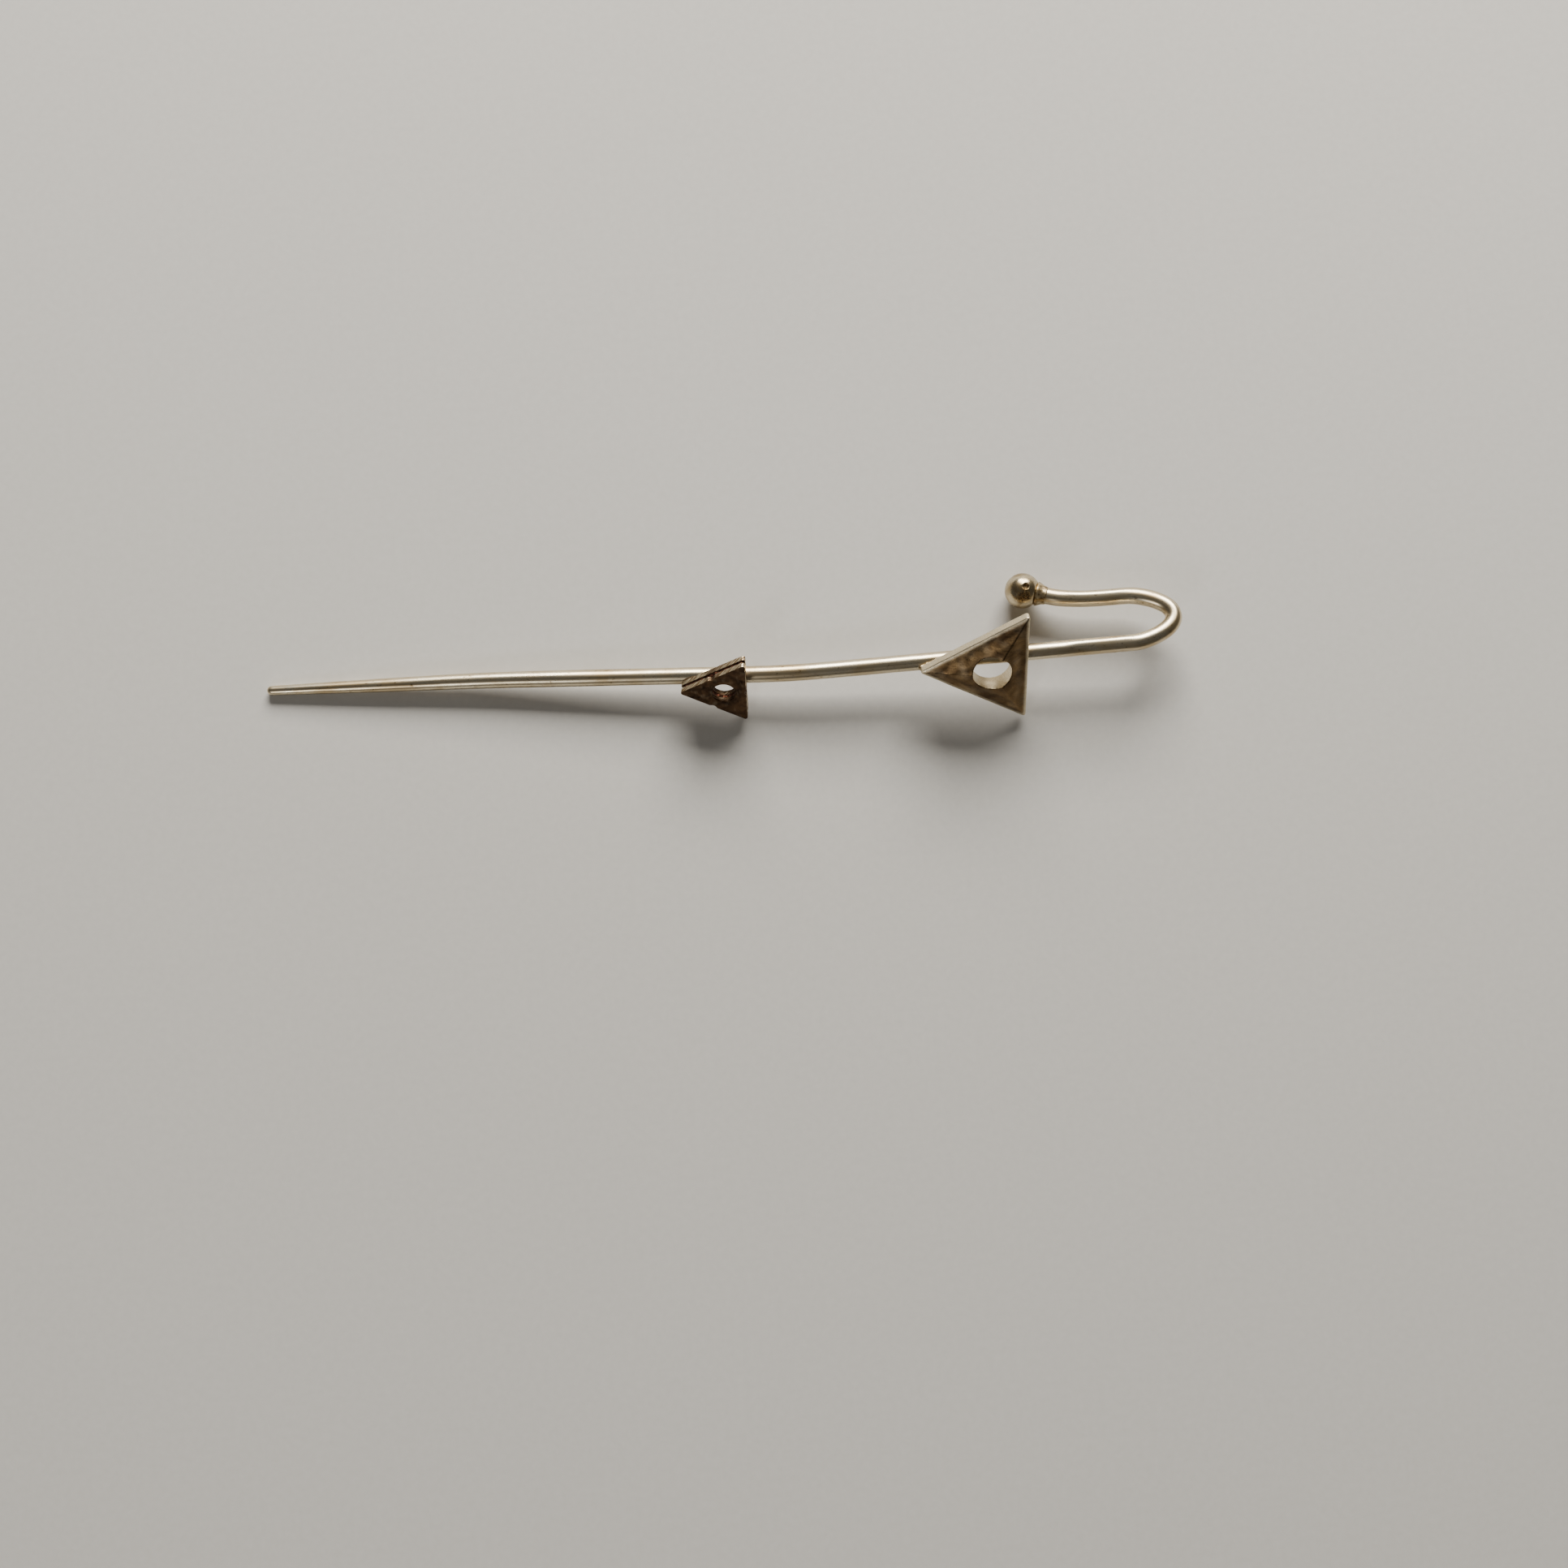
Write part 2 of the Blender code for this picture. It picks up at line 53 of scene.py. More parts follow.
# The wire's route, in millimetres and degrees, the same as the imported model's.
WIRE_RADIUS = 0.6
POINT_RADIUS = 0.33
TAPER_LENGTH = 22.0
TAPER_POWER = 1.8
POINT_RUN = 15.7
MIDDLE_RUN = 21.6
HOOK_RUN = 24.3
POINT_HEADING = math.radians(-0.5)
MIDDLE_HEADING = math.radians(-2.1)
HOOK_HEADING = math.radians(1.85)
POINT_CLIMB = math.radians(2.0)
MIDDLE_CLIMB = math.radians(2.9)
HOOK_CLIMB = math.radians(2.5)
RUN_EASE = 2.6
HOOK_NOSE = 2.95
HOOK_GAP = 3.67
NOSE_POWER = 1.42
RETURN_LEG = 5.75
LEG_SPREAD = 0.56
LEG_POWER = 3.6

# The hook's marks: the nick's share of the gap, and the pliers' share of the return leg.
NICK_ACROSS = 0.56
PLIERS_ALONG = 0.42

# The ball, and the solder round its neck.
BALL_RADIUS = 1.26
NECK_LENGTH = 0.48
SOCKET_DEPTH = 0.9
NECK_WIDTH = 0.34
NECK_REACH = 0.55
BALL_CENTRE_RUN = BALL_RADIUS + NECK_LENGTH

# The ornaments: sizes, and places back from the hook's nose.
SADDLE_THICKNESS = 0.06
FACE_CLEARANCE = 0.02
SHEET_OFFSET = WIRE_RADIUS + SADDLE_THICKNESS + 2 * FACE_CLEARANCE
WINDOW_SHARE = 0.53  # a round window's radius, in its triangle's inscribed circles
SIDE_TURNS = (0.0, 2 * math.pi / 3, 4 * math.pi / 3)
LARGE_SIDE = 8.8
LARGE_RIM = 0.88
LARGE_FACET = math.radians(20.0)
LARGE_CORNER = 0.22
LARGE_SKEW = math.radians(-3.0)
LARGE_FROM_NOSE = 7.7
SMALL_SIDE = 5.5
SMALL_SHEET = 0.45
SMALL_SEAM = 0.20
SMALL_SEAM_INSET = 0.09
SMALL_CORNER = 0.18
SMALL_NOTCH_RADIUS = 0.37
SMALL_NOTCH_DEPTH = 0.12
SMALL_SKEW = math.radians(-1.5)
SMALL_LEAN = math.radians(8.0)
SMALL_FROM_NOSE = 27.3

# The solder: how far it reaches into the ball and the wire, and its saddles and beads.
NECK_FOOT_DEPTH = 0.26
NECK_FOOT_LENGTH = 0.20
NECK_TRIM = 0.06
NECK_END_WIDTH = 0.02
BALL_SEAT_DEPTH = 0.02
NECK_SEAT_DEPTH = 0.08
SADDLE_SEAT_DEPTH = 0.015
SADDLE_FOOT = 0.20
SADDLE_OVERLAP = 0.02
SADDLE_WIDTH = 0.62
SADDLE_SETBACK = 0.30
SADDLE_FROM_BEAD = 0.18
BEAD_RADIUS = 0.26
LARGE_BEAD_INSET = 0.40
SMALL_BEAD_INSET = 0.66
SEAM_OVERLAP = 0.03

# The floor's side.
FLOOR_SIDE = 1200.0

# How fine the meshes are: grains and steps in millimetres, then plain counts.
LARGE_GRAIN = 0.048
SMALL_GRAIN = 0.032
SOLDER_GRAIN = 0.035
ROUTE_STEP = 0.12
TIP_POINTS = 8
STILL_POINTS = 12
RELAX_ROUNDS = 14
WIRE_SIDES_RESOLUTION = 22


# --- the wire's route --------------------------------------------------------------------------------


def direction(heading, climb):
    flat = math.cos(climb)
    return Vector((flat * math.cos(heading), flat * math.sin(heading), math.sin(climb)))


def wire_corners():
    """The point, the corners between the three runs, and the start of the hook's nose."""
    point = Vector((0.0, 0.0, POINT_RADIUS))
    first = point + POINT_RUN * direction(POINT_HEADING, POINT_CLIMB)
    second = first + MIDDLE_RUN * direction(MIDDLE_HEADING, MIDDLE_CLIMB)
    nose = second + HOOK_RUN * direction(HOOK_HEADING, HOOK_CLIMB)
    return point, first, second, nose


def leg_slope():
    return LEG_POWER * LEG_SPREAD / RETURN_LEG


def ball_place():
    """The ball's centre in the hook's plane: along the shaft from the nose, and across."""
    run = BALL_CENTRE_RUN / math.hypot(1.0, leg_slope())
    return -(RETURN_LEG + run), HOOK_GAP + LEG_SPREAD + run * leg_slope()


def hook_axes():
    """The shaft's direction at the hook, and the direction across the hook, which dips to the floor."""
    along = direction(HOOK_HEADING, HOOK_CLIMB)
    level = UP.cross(along).normalized()
    rise = along.cross(level)
    back, out = ball_place()
    height = (wire_corners()[3] + back * along).z
    dip = math.asin((height - BALL_RADIUS) / (out * rise.z))
    return along, math.cos(dip) * level - math.sin(dip) * rise


def neck_direction():
    along, across = hook_axes()
    return (leg_slope() * across - along).normalized()


def eased_corner(before, corner, after, steps=12):
    start = corner + RUN_EASE * (before - corner).normalized()
    end = corner + RUN_EASE * (after - corner).normalized()
    fractions = [step / steps for step in range(steps + 1)]
    return [(1 - t) ** 2 * start + 2 * t * (1 - t) * corner + t ** 2 * end for t in fractions]


def rough_route():
    """The centre line through every run, corner and bend, from the point to the ball."""
    point, first, second, nose = wire_corners()
    along, across = hook_axes()
    route = [point] + eased_corner(point, first, second) + eased_corner(first, second, nose) + [nose]
    for step in range(1, 61):
        angle = math.pi * step / 60
        reach = HOOK_NOSE * max(math.sin(angle), 0.0) ** NOSE_POWER
        route.append(nose + reach * along + HOOK_GAP / 2 * (1 - math.cos(angle)) * across)
    for step in range(1, 25):
        t = step / 24
        width = HOOK_GAP + LEG_SPREAD * t ** LEG_POWER
        route.append(nose - RETURN_LEG * t * along + width * across)
    seat = BALL_RADIUS - SOCKET_DEPTH + FACE_CLEARANCE
    route.append(route[-1] + (BALL_CENTRE_RUN - seat) * neck_direction())
    return route


def even_route():
    """The same line with a point at every ROUTE_STEP and more at the tip, relaxed beyond the tip."""
    rough = rough_route()
    lengths = [0.0]
    for before, after in zip(rough, rough[1:]):
        lengths.append(lengths[-1] + (after - before).length)
    wanted = [
        POINT_RADIUS * (1 - math.cos(math.pi / 2 * (step + 0.3) / TIP_POINTS))
        for step in range(TIP_POINTS)]
    count = int((lengths[-1] - POINT_RADIUS) / ROUTE_STEP)
    wanted += [POINT_RADIUS + (lengths[-1] - POINT_RADIUS) * step / count for step in range(1, count + 1)]
    points = []
    leg = 0
    for travelled in wanted:
        while leg < len(rough) - 2 and lengths[leg + 1] < travelled:
            leg += 1
        share = (travelled - lengths[leg]) / (lengths[leg + 1] - lengths[leg])
        points.append(rough[leg].lerp(rough[leg + 1], share))
    for _ in range(RELAX_ROUNDS):
        middle = [(a + 2 * b + c) / 4 for a, b, c in zip(points, points[1:], points[2:])]
        points = points[:STILL_POINTS] + middle[STILL_POINTS - 1:-1] + points[-2:]
    return points, wanted


def taper_radius(distance):
    left = max(1.0 - distance / TAPER_LENGTH, 0.0)
    radius = WIRE_RADIUS - (WIRE_RADIUS - POINT_RADIUS) * left ** TAPER_POWER
    if distance < POINT_RADIUS:
        radius *= math.sqrt(1.0 - (1.0 - distance / POINT_RADIUS) ** 2)
    return radius


# --- places of the ornaments -------------------------------------------------------------------------


def inradius(side):
    return side / (2 * math.sqrt(3))


def window_radius(side):
    return WINDOW_SHARE * inradius(side)


def shaft_place(from_nose):
    first, second, nose = wire_corners()[1:]
    if from_nose <= HOOK_RUN:
        along = (nose - second).normalized()
        return nose - from_nose * along, along
    along = (second - first).normalized()
    return second - (from_nose - HOOK_RUN) * along, along


def large_roll():
    """The turn about the shaft that rests the large triangle's low corner on the floor."""
    inside = inradius(LARGE_SIDE)
    corner = Matrix.Rotation(LARGE_SKEW, 2) @ Vector((inside, -LARGE_SIDE / 2))
    place = shaft_place(LARGE_FROM_NOSE - (corner.x - inside))[0]
    reach = math.hypot(-corner.y, SHEET_OFFSET)
    return math.atan2(SHEET_OFFSET, -corner.y) + math.asin(place.z / (reach * math.cos(HOOK_CLIMB)))


def wire_matrix(from_nose, lean):
    """A frame on the shaft: x to the hook, z out of an ornament's front."""
    place, along = shaft_place(from_nose)
    level = UP.cross(along).normalized()
    rise = along.cross(level)
    roll = large_roll() + lean
    side = math.cos(roll) * level + math.sin(roll) * rise
    return Matrix.Translation(place) @ Matrix((along, side, along.cross(side))).transposed().to_4x4()


def ornament_matrix(side, from_nose, lean, skew):
    """An ornament's frame, with its origin at the triangle's centre and at the wire's middle."""
    centre = Matrix.Translation((-inradius(side), 0.0, 0.0))
    return wire_matrix(from_nose, lean) @ centre @ Matrix.Rotation(skew, 4, "Z")


def ball_matrix():
    """The ball's frame: its centre, with z back along the wire's end."""
    along, across = hook_axes()
    back, out = ball_place()
    centre = wire_corners()[3] + back * along + out * across
    turn = (-neck_direction()).to_track_quat("Z", "Y").to_matrix().to_4x4()
    return Matrix.Translation(centre) @ turn


# --- modelling ---------------------------------------------------------------------------------------


def only(item):
    """Leaves one object selected and active."""
    bpy.ops.object.select_all(action="DESELECT")
    item.select_set(True)
    bpy.context.view_layer.objects.active = item


def apply_modifiers(item):
    only(item)
    for modifier in list(item.modifiers):
        bpy.ops.object.modifier_apply(modifier=modifier.name)


def new_piece(name, add, **settings):
    """A primitive by its operator, with its turn and place applied."""
    bpy.ops.object.select_all(action="DESELECT")
    add(**settings)
    item = bpy.context.object
    item.name = name
    bpy.ops.object.transform_apply(location=True, rotation=True, scale=True)
    return item


def triangle_block(name, radius_inside, corner, bottom, height):
    """A three-sided prism whose upright edges are rounded."""
    block = new_piece(
        name, bpy.ops.mesh.primitive_cylinder_add, vertices=3, radius=2 * radius_inside,
        depth=height, location=(0, 0, bottom + height / 2), rotation=(0, 0, math.pi / 2))
    bpy.ops.object.mode_set(mode="EDIT")
    bpy.ops.mesh.select_all(action="DESELECT")
    bpy.ops.object.mode_set(mode="OBJECT")
    for edge in block.data.edges:
        low, high = (block.data.vertices[i].co for i in edge.vertices)
        edge.select = abs(low.z - high.z) > height / 2
    bpy.ops.object.mode_set(mode="EDIT")
    bpy.ops.mesh.select_mode(type="EDGE")
    bpy.ops.mesh.bevel(offset=corner * math.sqrt(3), segments=6, affect="EDGES")
    bpy.ops.object.mode_set(mode="OBJECT")
    return block


def round_window(radius, height):
    return new_piece(
        "window", bpy.ops.mesh.primitive_cylinder_add, vertices=96, radius=radius, depth=height)


def combine(item, other, operation):
    """Cuts, joins or intersects with another object, which is used up."""
    modifier = item.modifiers.new("shape", "BOOLEAN")
    modifier.operation = operation
    modifier.object = other
    modifier.solver = "EXACT"
    apply_modifiers(item)
    bpy.data.objects.remove(other, do_unlink=True)


def soften(item, grain, rounds):
    """Turns the shape into even small faces, and rounds its edges as casting and polishing do."""
    remesh = item.modifiers.new("grain", "REMESH")
    remesh.mode = "VOXEL"
    remesh.voxel_size = grain
    smooth = item.modifiers.new("polish", "SMOOTH")
    smooth.factor = 0.5
    smooth.iterations = rounds
    apply_modifiers(item)


def rub(item, move):
    """Moves each point along its normal by move(place, normal), in millimetres."""
    item.data.update()
    places = [(v.co.copy(), v.normal.copy()) for v in item.data.vertices]
    for vertex, (place, normal) in zip(item.data.vertices, places):
        vertex.co = place + normal * move(place, normal)
    item.data.update()


def lumps(place, size, seed):
    return noise.noise(place / size + Vector((seed, 2.3 * seed, -1.7 * seed)))


def remember(item, name, value):
    """Keeps a number at each point, for the material."""
    layer = item.data.attributes.new(name, "FLOAT", "POINT")
    layer.data.foreach_set("value", [value(v.co, v.normal) for v in item.data.vertices])


def smoothstep(low, high, value):
    t = min(max((value - low) / (high - low), 0.0), 1.0)
    return t * t * (3 - 2 * t)


def lay(item, matrix, node, material):
    """Puts a finished piece in its place, in metres, with its finish and its CAD node."""
    to_metres = Matrix.Scale(MM, 4)
    item.data.transform(to_metres @ Matrix.Translation(SHIFT) @ matrix)
    item.data.update()
    only(item)
    bpy.ops.object.shade_smooth()
    item.data.materials.clear()
    item.data.materials.append(material)
    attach(item, "root")
    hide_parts(node)


# --- finishes ----------------------------------------------------------------------------------------


def linear(code):
    """A colour from its sRGB hex code."""
    parts = [int(code[i:i + 2], 16) / 255 for i in (1, 3, 5)]
    return tuple(c / 12.92 if c <= 0.04045 else ((c + 0.055) / 1.055) ** 2.4 for c in parts) + (1.0,)


def add(tree, kind, links=None, **settings):
    """A node with its settings; links and number-named settings are given by input name."""
    node = tree.nodes.new(kind)
    for name, value in settings.items():
        if hasattr(node, name):
            setattr(node, name, value)
        else:
            node.inputs[name.replace("_", " ").title()].default_value = value
    for name, source in (links or {}).items():
        tree.links.new(source, node.inputs[name])
    return node


def blank_metal(name, roughness):
    material = bpy.data.materials.new(name)
    material.use_nodes = True
    tree = material.node_tree
    shader = tree.nodes["Principled BSDF"]
    shader.inputs["Metallic"].default_value = 1.0
    shader.inputs["Roughness"].default_value = roughness
    return material, tree, shader


def pattern(tree, source, stretch, detail=3.0, roughness=0.55, distortion=0.0, offset=(0.0, 0.0, 0.0)):
    """Noise whose grains have the given size in each direction, in the source's own unit."""
    place = add(tree, "ShaderNodeMapping", {"Vector": source})
    place.inputs["Scale"].default_value = stretch
    place.inputs["Location"].default_value = offset
    return add(
        tree, "ShaderNodeTexNoise", {"Vector": place.outputs["Vector"]}, scale=1.0, detail=detail,
        roughness=roughness, distortion=distortion).outputs["Fac"]


def ramp(tree, source, low, high, low_colour, high_colour):
    """Two colours or greys, from one to the other between two values of the source."""
    node = add(tree, "ShaderNodeValToRGB", {"Fac": source})
    first, last = node.color_ramp.elements
    first.position, last.position = low, high
    first.color, last.color = low_colour, high_colour
    return node.outputs["Color"]


def grey(value):
    return (value, value, value, 1.0)


def mixed(tree, share, first, second, blend="MIX"):
    node = tree.nodes.new("ShaderNodeMix")
    node.data_type = "RGBA"
    node.blend_type = blend
    if hasattr(share, "links"):
        tree.links.new(share, node.inputs[0])
    else:
        node.inputs[0].default_value = share
    tree.links.new(first, node.inputs[6])
    tree.links.new(second, node.inputs[7])
    return node.outputs[2]


def bumps(tree, shader, height, distance):
    """Relief in millimetres."""
    node = add(tree, "ShaderNodeBump", {"Height": height})
    node.inputs["Strength"].default_value = 1.0
    node.inputs["Distance"].default_value = distance * MM
    tree.links.new(node.outputs["Normal"], shader.inputs["Normal"])


def objectwise(tree):
    return tree.nodes.new("ShaderNodeTexCoord").outputs["Object"]


def per_mm(*sizes):
    """Scales for grains of these sizes in millimetres, on coordinates in metres."""
    return tuple(1 / (size * MM) for size in sizes)


def drawn_brass():
    """Brass wire, drawn through a die and rubbed bright.

    The die leaves hair lines along the wire, and handling leaves soft clouds of pale brown tarnish.
    """
    material, tree, shader = blank_metal("drawn_brass_wire", 0.25)
    straight = add(tree, "ShaderNodeAttribute", attribute_name="straight").outputs["Vector"]
    hair_lines = pattern(tree, straight, (0.22, 11.0, 11.0), detail=4.0)
    clouds = pattern(tree, straight, (0.35, 0.9, 0.9), detail=4.0, distortion=0.6)
    specks = pattern(tree, straight, (3.2, 5.5, 5.5), detail=2.0)
    tone = ramp(tree, clouds, 0.36, 0.66, linear("#E6DABF"), linear("#C4AF8A"))
    dirt = ramp(tree, specks, 0.62, 0.74, grey(1.0), linear("#8A7454"))
    colour = mixed(tree, 0.7, tone, dirt, "MULTIPLY")
    tree.links.new(colour, shader.inputs["Base Color"])
    wear = mixed(tree, 0.45, ramp(tree, hair_lines, 0.3, 0.7, grey(0.24), grey(0.36)),
                 ramp(tree, clouds, 0.3, 0.7, grey(0.22), grey(0.40)))
    tree.links.new(wear, shader.inputs["Roughness"])
    bumps(tree, shader, hair_lines, 0.0025)
    return material


def polished_brass():
    """A brass ball, buffed to a soft mirror, with a rough patch and a dimple on its upper side painted
    dark: a painted reflection there, and painted shade in the dimple.
    """
    material, tree, shader = blank_metal("buffed_brass_ball", 0.2)
    place = objectwise(tree)
    clouds = pattern(tree, place, per_mm(0.9, 0.9, 0.9), detail=5.0, distortion=0.5)
    pores = pattern(tree, place, per_mm(0.11, 0.11, 0.11), detail=3.0)
    # The mask of a painted dark reflection on the ball's upturned side, and of painted shade in its dimple.
    dark_reflection_patch = add(tree, "ShaderNodeAttribute", attribute_name="dark_reflection_patch").outputs["Fac"]
    tone = ramp(tree, clouds, 0.35, 0.68, linear("#D9CCAE"), linear("#A08A64"))
    # Near-black to brown: the colour of the painted reflection and the painted dimple shade.
    scale = ramp(tree, pores, 0.38, 0.62, linear("#2E2014"), linear("#A88C62"))
    tree.links.new(mixed(tree, dark_reflection_patch, tone, scale), shader.inputs["Base Color"])
    smooth = ramp(tree, clouds, 0.3, 0.7, grey(0.20), grey(0.32))
    rough = ramp(tree, pores, 0.3, 0.7, grey(0.42), grey(0.6))
    tree.links.new(mixed(tree, dark_reflection_patch, smooth, rough), shader.inputs["Roughness"])
    bumps(tree, shader, pores, 0.006)
    return material


def solder_skin(name, pale, dark, rough):
    """Silver solder, melted and left as it froze: a dull pale skin with brown flux in its hollows."""
    material, tree, shader = blank_metal(name, rough)
    place = objectwise(tree)
    clouds = pattern(tree, place, per_mm(0.35, 0.35, 0.35), detail=5.0, distortion=0.8)
    grains = pattern(tree, place, per_mm(0.07, 0.07, 0.07), detail=3.0)
    tone = ramp(tree, clouds, 0.38, 0.62, linear(dark), linear(pale))
    tree.links.new(tone, shader.inputs["Base Color"])
    dull = ramp(tree, grains, 0.3, 0.7, grey(rough - 0.1), grey(rough + 0.14))
    tree.links.new(dull, shader.inputs["Roughness"])
    bumps(tree, shader, grains, 0.012)
    return material


def hand_polished_brass():
    """Cast brass, polished by hand: faint ripples, brown faces and edges rubbed pale."""
    material, tree, shader = blank_metal("hand_polished_cast_brass", 0.3)
    place = objectwise(tree)
    clouds = pattern(tree, place, per_mm(1.6, 1.2, 1.2), detail=5.0, distortion=0.7)
    grains = pattern(tree, place, per_mm(0.10, 0.10, 0.10), detail=4.0)
    scratches = pattern(tree, place, per_mm(1.8, 0.09, 0.09), detail=3.0)
    rubbed = add(tree, "ShaderNodeAttribute", attribute_name="rubbed").outputs["Fac"]
    brown = ramp(tree, clouds, 0.34, 0.68, linear("#7A6344"), linear("#4A3826"))
    pale = ramp(tree, grains, 0.3, 0.7, linear("#EADFC6"), linear("#CDBC98"))
    tree.links.new(mixed(tree, rubbed, brown, pale), shader.inputs["Base Color"])
    dull = ramp(tree, scratches, 0.3, 0.72, grey(0.24), grey(0.44))
    satin = ramp(tree, grains, 0.3, 0.7, grey(0.30), grey(0.42))
    tree.links.new(mixed(tree, rubbed, dull, satin), shader.inputs["Roughness"])
    bumps(tree, shader, mixed(tree, 0.5, scratches, grains), 0.010)
    return material


def filed_brass(name, seed):
    """Brass sheet, filed along its edges and turned brown by the torch, with fine slanting file lines."""
    material, tree, shader = blank_metal(name, 0.34)
    place = objectwise(tree)
    clouds = pattern(tree, place, per_mm(0.8, 0.7, 0.7), detail=5.0, distortion=0.8, offset=(seed, 0, 0))
    turned = add(tree, "ShaderNodeMapping", {"Vector": place})
    turned.inputs["Rotation"].default_value = (0.5, 0.35, 0.9)
    lines = pattern(tree, turned.outputs["Vector"], per_mm(0.09, 1.1, 1.1), detail=3.0)
    rubbed = add(tree, "ShaderNodeAttribute", attribute_name="rubbed").outputs["Fac"]
    brown = ramp(tree, clouds, 0.36, 0.66, linear("#5E4732"), linear("#33241A"))
    pale = ramp(tree, lines, 0.42, 0.58, linear("#DCCDAF"), linear("#7C6446"))
    tree.links.new(mixed(tree, rubbed, brown, pale), shader.inputs["Base Color"])
    dull = ramp(tree, clouds, 0.3, 0.7, grey(0.46), grey(0.58))
    filed = ramp(tree, lines, 0.3, 0.7, grey(0.26), grey(0.46))
    tree.links.new(mixed(tree, rubbed, dull, filed), shader.inputs["Roughness"])
    bumps(tree, shader, lines, 0.014)
    return material


def fired_seam():
    """Solder between the sheets, fired dark red-brown in the flame."""
    material, tree, shader = blank_metal("fired_copper_solder", 0.55)
    place = objectwise(tree)
    clouds = pattern(tree, place, per_mm(0.22, 0.22, 0.22), detail=5.0, distortion=1.0)
    tone = ramp(tree, clouds, 0.4, 0.64, linear("#26130E"), linear("#6A4030"))
    tree.links.new(tone, shader.inputs["Base Color"])
    dull = ramp(tree, clouds, 0.35, 0.7, grey(0.66), grey(0.42))
    tree.links.new(dull, shader.inputs["Roughness"])
    bumps(tree, shader, clouds, 0.03)
    return material


# --- the pieces --------------------------------------------------------------------------------------


def make_wire():
    """The wire, as a closed tube on its route, still smooth."""
    points, lengths = even_route()
    curve = bpy.data.curves.new("bent_wire", "CURVE")
    curve.dimensions = "3D"
    curve.bevel_depth = 1.0
    curve.bevel_resolution = WIRE_SIDES_RESOLUTION
    curve.use_fill_caps = True
    spline = curve.splines.new("POLY")
    spline.points.add(len(points) - 1)
    for target, place, travelled in zip(spline.points, points, lengths):
        target.co = (*place, 1.0)
        target.radius = taper_radius(travelled)
    wire = bpy.data.objects.new("bent_wire", curve)
    bpy.context.collection.objects.link(wire)
    only(wire)
    bpy.ops.object.convert(target="MESH")
    wire = bpy.context.object
    bpy.ops.object.mode_set(mode="EDIT")
    bpy.ops.mesh.select_all(action="SELECT")
    bpy.ops.mesh.remove_doubles(threshold=0.0005)
    bpy.ops.mesh.normals_make_consistent(inside=False)
    bpy.ops.object.mode_set(mode="OBJECT")
    return wire, points, lengths


def straighten(wire, points, lengths):
    """Keeps at each point where it would be if the wire were pulled straight, for the hair lines."""
    tree = kdtree.KDTree(len(points))
    for index, place in enumerate(points):
        tree.insert(place, index)
    tree.balance()
    tangents = []
    sides = []
    side = Vector((0.0, 1.0, 0.0))
    for index in range(len(points)):
        before, after = points[max(index - 1, 0)], points[min(index + 1, len(points) - 1)]
        tangent = (after - before).normalized()
        side = (side - side.dot(tangent) * tangent).normalized()
        tangents.append(tangent)
        sides.append(side)
    straight = []
    for vertex in wire.data.vertices:
        index = tree.find(vertex.co)[1]
        away = vertex.co - points[index]
        other = tangents[index].cross(sides[index])
        straight += [lengths[index] + away.dot(tangents[index]), away.dot(sides[index]), away.dot(other)]
    layer = wire.data.attributes.new("straight", "FLOAT_VECTOR", "POINT")
    layer.data.foreach_set("vector", straight)


def finish_wire(wire, points, lengths):
    """Hand-made unevenness, a nick in the hook's nose and the pliers' flat on its return leg."""
    straighten(wire, points, lengths)
    along, across = hook_axes()
    nose = wire_corners()[3]
    nick = nose + (HOOK_NOSE + WIRE_RADIUS) * along + NICK_ACROSS * HOOK_GAP * across
    leg_middle = nose - PLIERS_ALONG * RETURN_LEG * along + HOOK_GAP * across

    def worn(place, normal):
        wave = 0.006 * lumps(place, 3.0, 4.0) + 0.0015 * lumps(place, 0.9, 9.0) - 0.005
        dent = -0.05 * (1 - smoothstep(0.0, 0.42, (place - nick).length))
        reach = 1 - smoothstep(1.6, 2.8, abs((place - leg_middle).dot(along)))
        flat = smoothstep(0.25, 0.9, normal.dot(-0.75 * across + 0.66 * UP))
        pinched = -0.045 * reach * flat * (1 - smoothstep(0.7, 1.2, (place - leg_middle).dot(across)))
        return wave + dent + pinched

    rub(wire, worn)
    lay(wire, Matrix.Identity(4), "pin_wire", drawn_brass())


def make_ball():
    """The ball: nearly round, with a pin hole's dimple and a pitted patch on its upper side, both painted
    dark as a painted reflection, with painted shade in the dimple.
    """
    ball = new_piece(
        "ball", bpy.ops.mesh.primitive_uv_sphere_add, segments=224, ring_count=128,
        radius=BALL_RADIUS)
    place = ball_matrix()
    back = place.to_3x3().inverted()
    hole = (back @ Vector((0.10, 0.10, 1.0))).normalized()
    patch = (back @ Vector((0.02, -0.36, 0.95))).normalized()

    # Where a painted dark reflection lies, on the side facing up, over a pitted patch.
    def dark_reflection_patch(point):
        ragged = 0.20 * lumps(point, 0.35, 3.0)
        return 1 - smoothstep(0.22, 0.52, (point.normalized() - patch).length + ragged)

    def worn(point, normal):
        away = (point.normalized() - hole).length * BALL_RADIUS
        dimple = -0.20 * (1 - smoothstep(0.13, 0.25, away)) + 0.02 * (1 - smoothstep(0.27, 0.38, away))
        pits = min(lumps(point, 0.09, 5.0), 0.15) * 0.05 + 0.03 * lumps(point, 0.2, 6.0)
        return 0.008 * lumps(point, 1.1, 2.0) - 0.008 + dimple + dark_reflection_patch(point) * (pits - 0.012)

    # The painted dark: the reflection patch, and painted shade inside the dimple.
    def reflection_and_dimple_shade(point, normal):
        away = (point.normalized() - hole).length * BALL_RADIUS
        return max(dark_reflection_patch(point), 0.9 * (1 - smoothstep(0.16, 0.27, away)))

    remember(ball, "dark_reflection_patch", reflection_and_dimple_shade)
    rub(ball, worn)
    lay(ball, place, "end_ball", polished_brass())


